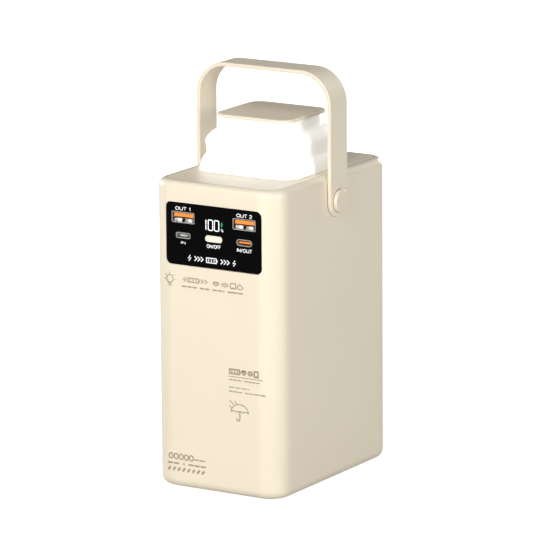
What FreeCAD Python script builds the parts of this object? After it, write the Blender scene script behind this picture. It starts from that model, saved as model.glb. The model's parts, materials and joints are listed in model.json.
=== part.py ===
import FreeCAD, Part
import math
import os

import Sketcher

# Power bank with a charging panel, a folding carry handle and a collapsible lantern on its deck.
# Frame: +Z up, front panel facing -Y, origin under the middle of the body on the plane of its feet.
# Every length is in millimetres and comes from the sheet below.

SIZES = [
    # name, value, meaning
    ("body_width", 74.0, "casing across X"),
    ("body_depth", 110.0, "casing along Y"),
    ("body_height", 156.0, "casing along Z, without the feet"),
    ("body_corner", 12.0, "radius of the four upright corners"),
    ("rim_fillet", 3.5, "rounding round the top"),
    ("base_fillet", 4.5, "rounding round the bottom"),
    ("wall", 2.5, "casing wall"),
    ("foot_rise", 1.0, "how far the feet stand out below the casing"),
    ("ledge_width", 2.3, "ledge that carries a cover, beyond its edge"),
    ("ledge_thick", 2.0, "ledge thickness"),
    ("deck_inset", 3.7, "casing side to deck opening"),
    ("deck_thick", 3.0, "deck plate"),
    ("base_inset", 4.7, "casing side to base opening"),
    ("base_thick", 2.5, "base plate"),
    ("cover_gap", 0.12, "gap round an inset cover"),
    ("edge_break", 0.3, "small chamfer on cover edges"),
    ("foot_diameter", 9.8, "rubber foot"),
    ("foot_thick", 1.85, "rubber foot, glued part included"),
    ("foot_pocket", 0.9, "depth of the pocket for a foot"),
    ("foot_reach_x", 22.0, "foot centre from the middle, across"),
    ("foot_reach_y", 36.0, "foot centre from the middle, along"),
    ("boss_reach_x", 27.0, "base screw from the middle, across"),
    ("boss_reach_y", 45.0, "base screw from the middle, along"),
    ("boss_diameter", 8.0, "base screw boss"),
    ("boss_level", 12.0, "top of the base screw bosses above the casing bottom"),
    ("screw_shank", 2.2, "self-tapping screw"),
    ("screw_pilot", 2.3, "pilot hole"),
    ("screw_clearance", 2.6, "clearance hole"),
    ("screw_head", 4.6, "pan head"),
    ("screw_head_thick", 1.5, "pan head height"),
    ("panel_width", 55.6, "front panel recess across"),
    ("panel_tall", 31.6, "front panel recess height"),
    ("panel_corner", 3.0, "front panel recess corner"),
    ("panel_level", 130.0, "panel centre above the casing bottom"),
    ("panel_recess", 1.7, "depth of the recess"),
    ("panel_thick", 1.2, "acrylic panel"),
    ("panel_sunk", 0.35, "panel face behind the casing face"),
    ("panel_gap", 0.15, "gap round the panel"),
    ("panel_lap", 2.2, "width of the glued border"),
    ("tape_thick", 0.15, "adhesive tape"),
    ("usb_a_spread", 17.75, "type A socket centre from the middle"),
    ("usb_a_level", 138.3, "type A sockets above the casing bottom"),
    ("usb_a_width", 13.1, "type A shell"),
    ("usb_a_tall", 5.6, "type A shell"),
    ("small_port_level", 129.2, "small sockets above the casing bottom"),
    ("micro_width", 8.3, "micro socket shell"),
    ("micro_tall", 2.95, "micro socket shell"),
    ("usb_c_width", 8.94, "type C shell"),
    ("usb_c_tall", 3.26, "type C shell"),
    ("shell_sheet", 0.3, "sheet metal of the sockets"),
    ("socket_proud", 0.05, "socket mouth in front of the panel"),
    ("socket_gap", 0.15, "gap round a socket"),
    ("button_width", 9.85, "button across"),
    ("button_tall", 3.3, "button height"),
    ("button_corner", 1.6, "button's round ends"),
    ("button_proud", 0.3, "button in front of the panel"),
    ("button_flange_width", 12.4, "flange that keeps the button in"),
    ("button_flange_tall", 6.0, "flange that keeps the button in"),
    ("button_flange_thick", 0.8, "flange that keeps the button in"),
    ("button_stem", 3.0, "stem that reaches the switch"),
    ("plunger_gap", 0.1, "stem to plunger"),
    ("switch_side", 6.0, "push switch"),
    ("switch_thick", 3.6, "push switch"),
    ("plunger_reach", 1.3, "plunger out of the switch"),
    ("board_depth", 14.5, "casing face to the front of the circuit board"),
    ("board_thick", 1.6, "circuit board"),
    ("board_width", 59.0, "circuit board"),
    ("board_low", 107.5, "circuit board bottom above the casing bottom"),
    ("board_high", 151.6, "circuit board top above the casing bottom"),
    ("post_diameter", 5.5, "circuit board post"),
    ("post_reach", 26.0, "circuit board post from the middle"),
    ("post_low", 110.7, "lower posts above the casing bottom"),
    ("post_high", 148.5, "upper posts above the casing bottom"),
    ("display_width", 19.0, "display module"),
    ("display_tall", 7.4, "display module"),
    ("display_level", 136.1, "display centre above the casing bottom"),
    ("digit_tall", 5.6, "digit height"),
    ("digit_wide", 3.0, "digit width"),
    ("digit_stroke", 0.6, "digit stroke"),
    ("digit_skin", 0.15, "thickness of a digit segment"),
    ("cell_diameter", 18.3, "battery cell"),
    ("cell_tall", 64.3, "battery cell without its button"),
    ("cell_button", 5.6, "positive button diameter"),
    ("cell_button_tall", 0.7, "positive button height"),
    ("cell_pitch", 18.9, "cell spacing"),
    ("cell_back_row", 41.8, "centre of the rearmost row"),
    ("holder_thick", 4.0, "cell holder plate"),
    ("holder_bore", 18.5, "cell holder hole"),
    ("holder_width", 58.2, "cell holder plate"),
    ("strip_width", 7.0, "nickel strip"),
    ("strip_thick", 0.2, "nickel strip"),
    ("paper_thick", 0.5, "insulating paper"),
    ("lead_diameter", 1.8, "battery lead"),
    ("lamp_lead_diameter", 1.2, "lantern lead"),
    ("lead_bend", 5.0, "bend radius of the leads"),
    ("shade_side", 57.9, "lower step of the shade"),
    ("shade_corner", 10.5, "lower step corner"),
    ("shade_step_side", 52.7, "upper step of the shade"),
    ("shade_step_corner", 9.5, "upper step corner"),
    ("neck_width", 40.4, "neck under the cap, across"),
    ("neck_depth", 36.4, "neck under the cap, along"),
    ("neck_corner", 6.0, "neck corner"),
    ("shade_lift", 0.3, "shade above the deck"),
    ("step_one_level", 9.2, "top of the lower step above the deck"),
    ("step_two_level", 20.7, "top of the upper step above the deck"),
    ("neck_level", 26.7, "top of the neck above the deck"),
    ("step_one_fillet", 2.4, "rounded shoulder of the lower step"),
    ("step_two_fillet", 4.0, "rounded shoulder of the upper step"),
    ("shade_skin", 1.5, "silicone thickness"),
    ("shade_foot_side", 46.8, "hole inside the shade's foot"),
    ("shade_foot_thick", 1.2, "shade foot"),
    ("cap_width", 44.2, "lantern cap across"),
    ("cap_depth", 41.0, "lantern cap along"),
    ("cap_corner", 6.9, "lantern cap corner"),
    ("cap_thick", 1.4, "lantern cap"),
    ("cap_level", 28.5, "top of the cap above the deck"),
    ("cap_post", 4.0, "post under the cap"),
    ("cap_post_reach", 10.0, "post from the middle"),
    ("clamp_width", 34.0, "clamp plate inside the neck"),
    ("clamp_depth", 30.0, "clamp plate inside the neck"),
    ("clamp_thick", 1.2, "clamp plate"),
    ("ring_outer", 52.4, "ring that clamps the shade's foot"),
    ("ring_inner", 45.8, "ring that clamps the shade's foot"),
    ("ring_thick", 1.1, "ring that clamps the shade's foot"),
    ("ring_screw_reach", 22.65, "ring screw from the middle"),
    ("soft_gap", 0.3, "gap between silicone and hard parts"),
    ("led_board_side", 44.0, "lantern board"),
    ("led_board_thick", 1.6, "lantern board"),
    ("led_pocket", 1.7, "depth of the pocket for the lantern board"),
    ("led_length", 3.5, "light-emitting diode"),
    ("led_width", 2.8, "light-emitting diode"),
    ("led_thick", 0.9, "light-emitting diode"),
    ("led_pitch", 10.0, "spacing of the diodes"),
    ("handle_width", 78.4, "handle outside width"),
    ("handle_band", 16.2, "width of the handle's band"),
    ("handle_thick", 2.0, "thickness of the handle's band"),
    ("handle_corner", 17.0, "outer corner of the handle"),
    ("handle_level", 208.1, "top of the handle above the casing bottom"),
    ("handle_edge", 0.5, "rounding along the band's edges"),
    ("pivot_level", 142.8, "handle pivot above the casing bottom"),
    ("pivot_shaft", 6.0, "pivot shaft"),
    ("pivot_bore", 6.12, "hole for the pivot shaft"),
    ("pivot_head", 11.4, "pivot cap"),
    ("pivot_head_thick", 1.75, "pivot cap"),
    ("pivot_gap", 0.15, "handle to pivot cap"),
    ("pivot_boss", 12.0, "boss inside the casing wall"),
    ("pivot_boss_thick", 2.0, "boss inside the casing wall"),
    ("washer_diameter", 9.0, "pivot washer"),
    ("washer_thick", 0.6, "pivot washer"),
]

SEGMENTS = {"0": "abcdef", "1": "bc"}
DISPLAY_TEXT = ((-5.7, "1"), (-1.75, "0"), (1.8, "0"))
SIDES = (-1, 1)
CORNERS = ((-1, -1), (1, -1), (1, 1), (-1, 1))

doc = FreeCAD.newDocument("PowerBank")
sheet = doc.addObject("Spreadsheet::Sheet", "dims")
nodes = []


class Size:
    """A number of millimetres with the sheet expression that gives it."""

    def __init__(self, number, text):
        self.number = number
        self.text = text

    def __add__(self, other):
        other = as_size(other)
        return Size(self.number + other.number, f"({self.text} + {other.text})")

    def __sub__(self, other):
        other = as_size(other)
        return Size(self.number - other.number, f"({self.text} - {other.text})")

    def __mul__(self, factor):
        return Size(self.number * factor, f"({self.text} * ({factor}))")

    def __truediv__(self, divisor):
        return Size(self.number / divisor, f"({self.text} / {divisor})")

    def __neg__(self):
        return self * -1

    def __rsub__(self, other):
        return as_size(other) - self

    __radd__ = __add__
    __rmul__ = __mul__


def as_size(value):
    """A plain number as a Size; a Size as it is."""
    return value if isinstance(value, Size) else Size(float(value), f"({float(value)})")


def fill_sheet():
    """Write the driving dimensions into the sheet and return them by name."""
    sizes = {}
    for row, (name, number, meaning) in enumerate(SIZES, 1):
        sheet.set(f"A{row}", name)
        sheet.set(f"B{row}", str(number))
        sheet.set(f"C{row}", meaning)
        sheet.setAlias(f"B{row}", name)
        sizes[name] = Size(number, f"dims.{name}")
    doc.recompute()
    return sizes


def bind(item, prop, size):
    """Drive one property by its expression."""
    item.setExpression(prop, as_size(size).text)


# ---------------------------------------------------------------- sketches

def new_body(label):
    body = doc.addObject("PartDesign::Body", label)
    body.Label = label
    body.AllowCompound = True
    nodes.append(body)
    return body


def new_sketch(body, plane, lift=0):
    """A sketch on one of the body's origin planes, lifted along that plane's normal."""
    item = body.newObject("Sketcher::SketchObject", f"{body.Name}_sketch")
    support = next(p for p in body.Origin.OriginFeatures if p.Role == plane)
    item.AttachmentSupport = [(support, "")]
    item.MapMode = "FlatFace"
    bind(item, "AttachmentOffset.Base.z", lift)
    return item


def level_sketch(body, height):
    """A sketch seen from above, at this height."""
    return new_sketch(body, "XY_Plane", height)


def front_sketch(body, depth):
    """A sketch seen from the front, at this Y."""
    return new_sketch(body, "XZ_Plane", -as_size(depth))


def side_sketch(body, reach):
    """A sketch of the YZ plane, at this X."""
    return new_sketch(body, "YZ_Plane", reach)


def dimension(item, kind, places, size):
    """Add a dimension that follows the sheet."""
    size = as_size(size)
    index = item.addConstraint(Sketcher.Constraint(kind, *places, size.number))
    name = f"{kind}_{index}"
    item.renameConstraint(index, name)
    bind(item, f"Constraints.{name}", size)


def rectangle(item, width, tall, x=0, y=0, corner=None):
    """A rectangle about (x, y), with round corners if a radius is given."""
    width, tall, x, y = (as_size(v) for v in (width, tall, x, y))
    round_by = as_size(corner).number if corner is not None else 0.0
    left, right = x.number - width.number / 2, x.number + width.number / 2
    low, high = y.number - tall.number / 2, y.number + tall.number / 2
    start = item.GeometryCount
    ends = [
        ((left + round_by, low), (right - round_by, low)),
        ((right, low + round_by), (right, high - round_by)),
        ((right - round_by, high), (left + round_by, high)),
        ((left, high - round_by), (left, low + round_by)),
    ]
    centres = [
        (right - round_by, low + round_by),
        (right - round_by, high - round_by),
        (left + round_by, high - round_by),
        (left + round_by, low + round_by),
    ]
    for turn, (a, b) in enumerate(ends):
        item.addGeometry(Part.LineSegment(FreeCAD.Vector(*a, 0), FreeCAD.Vector(*b, 0)))
        if round_by:
            circle = Part.Circle(FreeCAD.Vector(*centres[turn], 0), FreeCAD.Vector(0, 0, 1), round_by)
            begin = math.radians(90 * turn - 90)
            item.addGeometry(Part.ArcOfCircle(circle, begin, begin + math.pi / 2))
    count = item.GeometryCount - start
    stride = 2 if round_by else 1
    for k in range(count):
        joint = "Tangent" if round_by else "Coincident"
        item.addConstraint(Sketcher.Constraint(joint, start + k, 2, start + (k + 1) % count, 1))
    for k, direction in enumerate(("Horizontal", "Vertical", "Horizontal", "Vertical")):
        item.addConstraint(Sketcher.Constraint(direction, start + k * stride))
    bottom, side_r, top, side_l = (start + k * stride for k in range(4))
    if round_by:
        for k in (3, 5, 7):
            item.addConstraint(Sketcher.Constraint("Equal", start + 1, start + k))
        dimension(item, "Radius", (start + 1,), corner)
    dimension(item, "DistanceX", (side_l, 1, side_r, 1), width)
    dimension(item, "DistanceY", (bottom, 1, top, 1), tall)
    dimension(item, "DistanceX", (-1, 1, side_l, 1), x - width / 2)
    dimension(item, "DistanceY", (-1, 1, bottom, 1), y - tall / 2)


def circles(item, diameter, centres):
    """Equal circles about these points."""
    first = None
    for x, y in centres:
        x, y = as_size(x), as_size(y)
        centre = FreeCAD.Vector(x.number, y.number, 0)
        circle = Part.Circle(centre, FreeCAD.Vector(0, 0, 1), as_size(diameter).number / 2)
        index = item.addGeometry(circle)
        if first is None:
            first = index
            dimension(item, "Diameter", (index,), diameter)
        else:
            item.addConstraint(Sketcher.Constraint("Equal", first, index))
        dimension(item, "DistanceX", (-1, 1, index, 3), x)
        dimension(item, "DistanceY", (-1, 1, index, 3), y)


# ---------------------------------------------------------------- features

def pad(body, profile, length, flip=False, both=False):
    """Grow a profile along its normal; flip for the other way, both for half each way."""
    feature = body.newObject("PartDesign::Pad", f"{body.Name}_pad")
    feature.Profile = profile
    feature.Reversed = flip
    feature.SideType = "Symmetric" if both else "One side"
    bind(feature, "Length", length)
    doc.recompute()
    return feature


def pocket(body, profile, depth=None, flip=False, both=False):
    """Cut a profile against its normal, through everything when no depth is given."""
    before = body.Shape.Volume
    feature = body.newObject("PartDesign::Pocket", f"{body.Name}_pocket")
    feature.Profile = profile
    feature.Reversed = flip
    feature.SideType = "Symmetric" if both else "One side"
    if depth is None:
        feature.Type = "ThroughAll"
    else:
        bind(feature, "Length", depth)
    doc.recompute()
    if not feature.Shape.Volume < before - 0.001:
        raise RuntimeError(f"a pocket of {body.Label} cuts nothing")
    return feature


def edges_at(body, axis, height):
    """Edges in the plane where axis has this value."""
    names = []
    for number, edge in enumerate(body.Tip.Shape.Edges, 1):
        span = edge.BoundBox
        ends = (getattr(span, f"{axis}Min"), getattr(span, f"{axis}Max"))
        if all(abs(end - as_size(height).number) < 0.01 for end in ends):
            names.append(f"Edge{number}")
    return names


def soften(body, kind, names, size):
    """Round ("Fillet", "Radius") or break ("Chamfer", "Size") the named edges of the body so far."""
    base = body.Tip
    feature = body.newObject(f"PartDesign::{kind}", f"{body.Name}_{kind.lower()}")
    feature.Base = (base, names)
    bind(feature, "Radius" if kind == "Fillet" else "Size", size)
    doc.recompute()
    return feature


def spread(reach_x, reach_y, middle_y=0):
    """The four points at these distances from the middle."""
    return [(reach_x * sx, middle_y + reach_y * sy) for sx, sy in CORNERS]


def plate(label, width, depth, low, thick, corner=None, y=0):
    """A level plate as a body of its own."""
    body = new_body(label)
    profile = level_sketch(body, low)
    rectangle(profile, width, depth, 0, y, corner)
    pad(body, profile, thick)
    return body


def block(label, centre, width, tall, front, deep, corner=None):
    """An upright block seen from the front: its centre (x, z), front face and depth."""
    body = new_body(label)
    profile = front_sketch(body, front)
    rectangle(profile, width, tall, centre[0], centre[1], corner)
    pad(body, profile, deep, flip=True)
    return body


def level_screws(label, points, seat, head, head_thick, shank, length, down=True):
    """Pan head screws with their heads on a level seat; down when the shanks point down."""
    body = new_body(label)
    for diameter, size, flip in ((head, head_thick, not down), (shank, length, down)):
        profile = level_sketch(body, seat)
        circles(profile, diameter, points)
        pad(body, profile, size, flip=flip)
    crown = seat + head_thick * (1 if down else -1)
    slot_long, slot_wide = head * 0.55, head * 0.14
    for width, tall in ((slot_long, slot_wide), (slot_wide, slot_long)):
        cross = level_sketch(body, crown)
        for x, y in points:
            rectangle(cross, width, tall, x, y)
        pocket(body, cross, head_thick * 0.45, flip=not down)
    return body


dims = fill_sheet()


bottom = dims["foot_rise"]
top = bottom + dims["body_height"]
half_width = dims["body_width"] / 2
half_depth = dims["body_depth"] / 2
front = -half_depth
deck_floor = top - dims["deck_thick"]
base_ceiling = bottom + dims["base_thick"]
pivot_z = bottom + dims["pivot_level"]
panel_z = bottom + dims["panel_level"]
panel_face = front + dims["panel_sunk"]
panel_back = panel_face + dims["panel_thick"]
small_port_z = bottom + dims["small_port_level"]
usb_a_z = bottom + dims["usb_a_level"]
board_front = front + dims["board_depth"]
board_back = board_front + dims["board_thick"]
boss_top = bottom + dims["boss_level"]
base_screws = spread(dims["boss_reach_x"], dims["boss_reach_y"])
post_points = [
    (dims["post_reach"] * side, bottom + dims[name]) for side in SIDES for name in ("post_low", "post_high")
]


# ---------------------------------------------------------------- casing

def inset_pocket(body, inset, low, high):
    """Empty the casing between two heights, inset from its outside by the same amount all round.

    Each pocket reaches the outside or the pocket before it, because a closed void can't be cut.
    """
    profile = level_sketch(body, high)
    rectangle(
        profile, dims["body_width"] - inset * 2, dims["body_depth"] - inset * 2,
        corner=dims["body_corner"] - inset,
    )
    pocket(body, profile, high - low)


def make_main_shell():
    body = new_body("main_shell")
    profile = level_sketch(body, bottom)
    rectangle(profile, dims["body_width"], dims["body_depth"], corner=dims["body_corner"])
    pad(body, profile, dims["body_height"])
    soften(body, "Fillet", edges_at(body, "Z", top), dims["rim_fillet"])
    soften(body, "Fillet", edges_at(body, "Z", bottom), dims["base_fillet"])
    base_ledge = base_ceiling + dims["ledge_thick"]
    deck_ledge = deck_floor - dims["ledge_thick"]
    overlap = 1.0
    inset_pocket(body, dims["deck_inset"], deck_floor, top)
    inset_pocket(body, dims["deck_inset"] + dims["ledge_width"], deck_ledge - overlap, deck_floor)
    inset_pocket(body, dims["wall"], base_ledge, deck_ledge)
    inset_pocket(body, dims["base_inset"] + dims["ledge_width"], base_ceiling, base_ledge + overlap)
    inset_pocket(body, dims["base_inset"], bottom, base_ceiling)
    cut_panel_seat(body)
    add_base_bosses(body)
    add_board_posts(body)
    add_pivot_bosses(body)


def cut_panel_seat(body):
    """Recess in the front wall, open behind except for the border that the panel is glued to."""
    seat = front_sketch(body, front)
    rectangle(seat, dims["panel_width"], dims["panel_tall"], 0, panel_z, dims["panel_corner"])
    pocket(body, seat, dims["panel_recess"])
    window = front_sketch(body, front + dims["panel_recess"])
    lap = dims["panel_lap"]
    rectangle(
        window, dims["panel_width"] - lap * 2, dims["panel_tall"] - lap * 2, 0, panel_z,
        dims["panel_corner"] - lap * 0.5,
    )
    pocket(body, window, dims["wall"] - dims["panel_recess"] + 0.1)


def add_base_bosses(body):
    """Four bosses in the lower corners, for the screws of the base."""
    boss = level_sketch(body, base_ceiling)
    circles(boss, dims["boss_diameter"], base_screws)
    pad(body, boss, boss_top - base_ceiling)
    pilot = level_sketch(body, base_ceiling)
    circles(pilot, dims["screw_pilot"], base_screws)
    pocket(body, pilot, boss_top - base_ceiling - 1.5, flip=True)


def add_board_posts(body):
    """Four posts behind the front wall, for the circuit board."""
    root = 0.3
    post = front_sketch(body, front + dims["wall"] - root)
    circles(post, dims["post_diameter"], post_points)
    pad(body, post, dims["board_depth"] - dims["wall"] + root, flip=True)
    pilot = front_sketch(body, board_front)
    circles(pilot, dims["screw_pilot"], post_points)
    pocket(body, pilot, 8, flip=True)


def add_pivot_bosses(body):
    """A boss inside each side wall, and one bore through both for the pivot shafts."""
    root = 0.5
    inner = half_width - dims["wall"] - dims["pivot_boss_thick"]
    for side in SIDES:
        boss = side_sketch(body, inner * side)
        circles(boss, dims["pivot_boss"], [(0, pivot_z)])
        pad(body, boss, dims["pivot_boss_thick"] + root, flip=side < 0)
    bore = side_sketch(body, 0)
    circles(bore, dims["pivot_bore"], [(0, pivot_z)])
    pocket(body, bore, dims["body_width"] + 2, both=True)


def make_top_cover():
    """Deck plate with the lantern's pocket, held by hooks under the casing's ledge."""
    inset = dims["deck_inset"] + dims["cover_gap"]
    body = plate(
        "top_cover", dims["body_width"] - inset * 2, dims["body_depth"] - inset * 2, deck_floor,
        dims["deck_thick"], dims["body_corner"] - inset,
    )
    soften(body, "Chamfer", edges_at(body, "Z", top), dims["edge_break"])
    pit = level_sketch(body, top)
    pit_side = dims["led_board_side"] + 0.4
    rectangle(pit, pit_side, pit_side, corner=5)
    pocket(body, pit, dims["led_pocket"])
    holes = level_sketch(body, top)
    circles(holes, 1.6, spread(dims["ring_screw_reach"], dims["ring_screw_reach"]))
    pocket(body, holes, 2.4)
    wire_hole = level_sketch(body, top)
    circles(wire_hole, 5.0, [(0, LAMP_LEAD_Y)])
    pocket(body, wire_hole)
    add_deck_hooks(body)


def add_deck_hooks(body):
    """Three snap hooks a side that catch under the ledge."""
    ledge_edge = half_width - dims["deck_inset"] - dims["ledge_width"]
    arm_thick, barb, hook_wide, drop = 1.4, 0.6, 6.0, 3.0
    rows = (-30, 0, 30)
    arms = level_sketch(body, deck_floor)
    for side in SIDES:
        for y in rows:
            rectangle(arms, arm_thick, hook_wide, (ledge_edge - 0.2 - arm_thick / 2) * side, y)
    pad(body, arms, drop, flip=True)
    barbs = level_sketch(body, deck_floor - drop)
    barb_wide = arm_thick + 0.2 + barb
    for side in SIDES:
        for y in rows:
            centre = ledge_edge + (barb - barb_wide / 2)
            rectangle(barbs, barb_wide, hook_wide, centre * side, y)
    pad(body, barbs, drop - dims["ledge_thick"] - 0.15)


def make_bottom_cover():
    inset = dims["base_inset"] + dims["cover_gap"]
    body = plate(
        "bottom_cover", dims["body_width"] - inset * 2, dims["body_depth"] - inset * 2, bottom,
        dims["base_thick"], dims["body_corner"] - inset,
    )
    soften(body, "Chamfer", edges_at(body, "Z", bottom), dims["edge_break"])
    feet = level_sketch(body, bottom)
    circles(feet, dims["foot_diameter"] + 0.3, spread(dims["foot_reach_x"], dims["foot_reach_y"]))
    pocket(body, feet, dims["foot_pocket"], flip=True)
    heads = level_sketch(body, bottom)
    circles(heads, dims["screw_head"] + 0.8, base_screws)
    pocket(body, heads, dims["screw_head_thick"], flip=True)
    shanks = level_sketch(body, bottom)
    circles(shanks, dims["screw_clearance"], base_screws)
    pocket(body, shanks, dims["base_thick"], flip=True)


def make_feet():
    names = {(-1, -1): "foot_front_left", (1, -1): "foot_front_right",
             (1, 1): "foot_rear_right", (-1, 1): "foot_rear_left"}
    for (sx, sy), label in names.items():
        body = new_body(label)
        profile = level_sketch(body, 0)
        circles(profile, dims["foot_diameter"], [(dims["foot_reach_x"] * sx, dims["foot_reach_y"] * sy)])
        pad(body, profile, dims["foot_thick"])
        soften(body, "Fillet", edges_at(body, "Z", 0), 0.5)


def make_bottom_screws():
    seat = bottom + dims["screw_head_thick"]
    level_screws(
        "bottom_screws", base_screws, seat, dims["screw_head"], dims["screw_head_thick"] - 0.1,
        dims["screw_shank"], 9.0, down=False,
    )


# ---------------------------------------------------------------- front panel and ports

def port_centres():
    """Centre (x, z), width, height and corner of each opening in the panel."""
    gap = dims["socket_gap"] * 2
    spread_x = dims["usb_a_spread"]
    type_a = (dims["usb_a_width"] + gap, dims["usb_a_tall"] + gap, 0.6)
    return [
        ((-spread_x, usb_a_z), *type_a),
        ((spread_x, usb_a_z), *type_a),
        ((-spread_x, small_port_z), dims["micro_width"] + gap, dims["micro_tall"] + gap, 1.0),
        ((spread_x, small_port_z), dims["usb_c_width"] + gap, dims["usb_c_tall"] + gap, 1.7),
        ((as_size(0), small_port_z), dims["button_width"] + gap, dims["button_tall"] + gap, 1.7),
    ]


def make_front_panel():
    gap = dims["panel_gap"] * 2
    body = block(
        "front_panel", (0, panel_z), dims["panel_width"] - gap, dims["panel_tall"] - gap, panel_face,
        dims["panel_thick"], dims["panel_corner"] - dims["panel_gap"],
    )
    soften(body, "Chamfer", edges_at(body, "Y", panel_face), 0.2)
    openings = front_sketch(body, panel_face)
    for centre, width, tall, corner in port_centres():
        rectangle(openings, width, tall, *centre, corner)
    pocket(body, openings)


def make_panel_tape():
    """Frame of double-sided tape between the panel and its border."""
    body = new_body("panel_adhesive")
    profile = front_sketch(body, panel_back)
    for margin in (0.5, dims["panel_lap"]):
        margin = as_size(margin)
        rectangle(
            profile, dims["panel_width"] - margin * 2, dims["panel_tall"] - margin * 2, 0, panel_z, 1.9)
    pad(body, profile, dims["tape_thick"], flip=True)


def make_power_button():
    """Pill-shaped key with a flange behind the panel and a stem to the switch."""
    key_face = panel_face - dims["button_proud"]
    flange_face = panel_back + 0.15
    flange_back = flange_face + dims["button_flange_thick"]
    body = block(
        "power_button", (0, small_port_z), dims["button_width"], dims["button_tall"], key_face,
        flange_back - key_face, dims["button_corner"],
    )
    soften(body, "Fillet", edges_at(body, "Y", key_face), 0.35)
    flange = front_sketch(body, flange_face)
    rectangle(
        flange, dims["button_flange_width"], dims["button_flange_tall"], 0, small_port_z, 2.5)
    pad(body, flange, dims["button_flange_thick"], flip=True)
    plunger_face = board_front - dims["switch_thick"] - dims["plunger_reach"]
    stem = front_sketch(body, flange_back)
    circles(stem, dims["button_stem"], [(0, small_port_z)])
    pad(body, stem, plunger_face - dims["plunger_gap"] - flange_back, flip=True)


def make_push_switch():
    plunger_face = board_front - dims["switch_thick"] - dims["plunger_reach"]
    switch_face = board_front - dims["switch_thick"]
    body = block(
        "tact_switch", (0, small_port_z), dims["switch_side"], dims["switch_side"], switch_face,
        dims["switch_thick"],
    )
    well = front_sketch(body, switch_face)
    circles(well, dims["button_stem"] + 0.3, [(0, small_port_z)])
    pocket(body, well, 2.2)
    plunger = new_body("switch_plunger")
    profile = front_sketch(plunger, plunger_face)
    circles(profile, dims["button_stem"], [(0, small_port_z)])
    pad(plunger, profile, dims["plunger_reach"] + 1.2, flip=True)


def make_display():
    """Display module and the lit segments on its face."""
    skin = dims["digit_skin"]
    face = panel_back + 0.08 + skin
    centre = bottom + dims["display_level"]
    block(
        "display_module", (0, centre), dims["display_width"], dims["display_tall"], face, board_front - face)
    body = new_body("display_digits")
    profile = front_sketch(body, face)
    for x, digit in DISPLAY_TEXT:
        draw_digit(profile, x, centre, SEGMENTS[digit])
    pad(body, profile, skin)


def draw_digit(profile, x, centre, lit):
    """Seven-segment digit: uprights b, c, e and f, bars a, d and g."""
    tall, wide, stroke = dims["digit_tall"], dims["digit_wide"], dims["digit_stroke"]
    bar_long = wide - stroke * 2 - 0.3
    quarter = tall / 4 - stroke * 0.1
    upright = tall / 2 - stroke * 1.1
    reach = (wide - stroke) / 2
    bars = {"a": tall / 2 - stroke / 2, "d": stroke / 2 - tall / 2}
    uprights = {"b": (1, 1), "c": (1, -1), "e": (-1, -1), "f": (-1, 1)}
    for name in lit:
        if name in bars:
            rectangle(profile, bar_long, stroke, x, centre + bars[name])
        else:
            across, up = uprights[name]
            rectangle(profile, stroke, upright, x + reach * across, centre + quarter * up)


def make_socket_shell(label, centre, width, tall, corner, mouth, deep):
    """Folded sheet shell of a socket, open at both ends."""
    sheet_thick = dims["shell_sheet"]
    body = new_body(label)
    profile = front_sketch(body, mouth)
    rectangle(profile, width, tall, *centre, corner)
    rectangle(profile, width - sheet_thick * 2, tall - sheet_thick * 2, *centre, corner - 0.28)
    pad(body, profile, deep, flip=True)
    return body


def make_type_a(side, name):
    centre = (dims["usb_a_spread"] * side, usb_a_z)
    mouth = panel_face - dims["socket_proud"]
    deep = board_front - mouth - 0.05
    make_socket_shell(
        f"usb_a_{name}_shell", centre, dims["usb_a_width"], dims["usb_a_tall"], 0.55, mouth, deep)
    inner_wide = dims["usb_a_width"] - dims["shell_sheet"] * 2 - 0.1
    inner_tall = dims["usb_a_tall"] - dims["shell_sheet"] * 2 - 0.1
    back_face = board_front - 3.5
    tongue_face = mouth + 0.8
    tongue_thick = 1.85
    tongue_z = usb_a_z + 1.05
    body = block(
        f"usb_a_{name}_tongue", centre, inner_wide, inner_tall, back_face, board_front - back_face - 0.05,
        0.3,
    )
    tongue = front_sketch(body, tongue_face)
    rectangle(tongue, inner_wide - 1.3, tongue_thick, centre[0], tongue_z)
    pad(body, tongue, back_face - tongue_face, flip=True)
    contacts = new_body(f"usb_a_{name}_contacts")
    strips = front_sketch(contacts, tongue_face + 0.9)
    strip_thick = 0.2
    for offset in (-3.5, -1.0, 1.0, 3.5):
        under = tongue_z - tongue_thick / 2 - strip_thick / 2
        rectangle(strips, 1.0, strip_thick, centre[0] + offset, under)
    pad(contacts, strips, back_face - tongue_face - 0.95, flip=True)


def make_small_port(prefix, side, width, tall, corner, tongue_wide, tongue_thick):
    """Micro or type C socket: shell, and a tongue on its back block."""
    centre = (dims["usb_a_spread"] * side, small_port_z)
    mouth = panel_face - dims["socket_proud"]
    back_face = board_front - 7.0
    make_socket_shell(f"{prefix}_shell", centre, width, tall, corner, mouth, board_front - mouth - 0.05)
    inner = dims["shell_sheet"] * 2 + 0.1
    body = block(
        f"{prefix}_tongue", centre, width - inner, tall - inner, back_face,
        board_front - back_face - 0.05, corner - 0.35,
    )
    tongue_face = mouth + 0.7
    tongue = front_sketch(body, tongue_face)
    rectangle(tongue, tongue_wide, tongue_thick, *centre)
    pad(body, tongue, back_face - tongue_face, flip=True)


# ---------------------------------------------------------------- circuit board

def make_board():
    low, high = bottom + dims["board_low"], bottom + dims["board_high"]
    body = block(
        "port_board", (0, (low + high) / 2), dims["board_width"], high - low, board_front,
        dims["board_thick"], 1.0,
    )
    holes = front_sketch(body, board_front)
    circles(holes, dims["screw_clearance"], post_points)
    pocket(body, holes)
    screws = new_body("board_screws")
    head = front_sketch(screws, board_back)
    circles(head, dims["screw_head"], post_points)
    pad(screws, head, dims["screw_head_thick"], flip=True)
    shank = front_sketch(screws, board_back)
    circles(shank, dims["screw_shank"], post_points)
    pad(screws, shank, 8.0)


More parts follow.
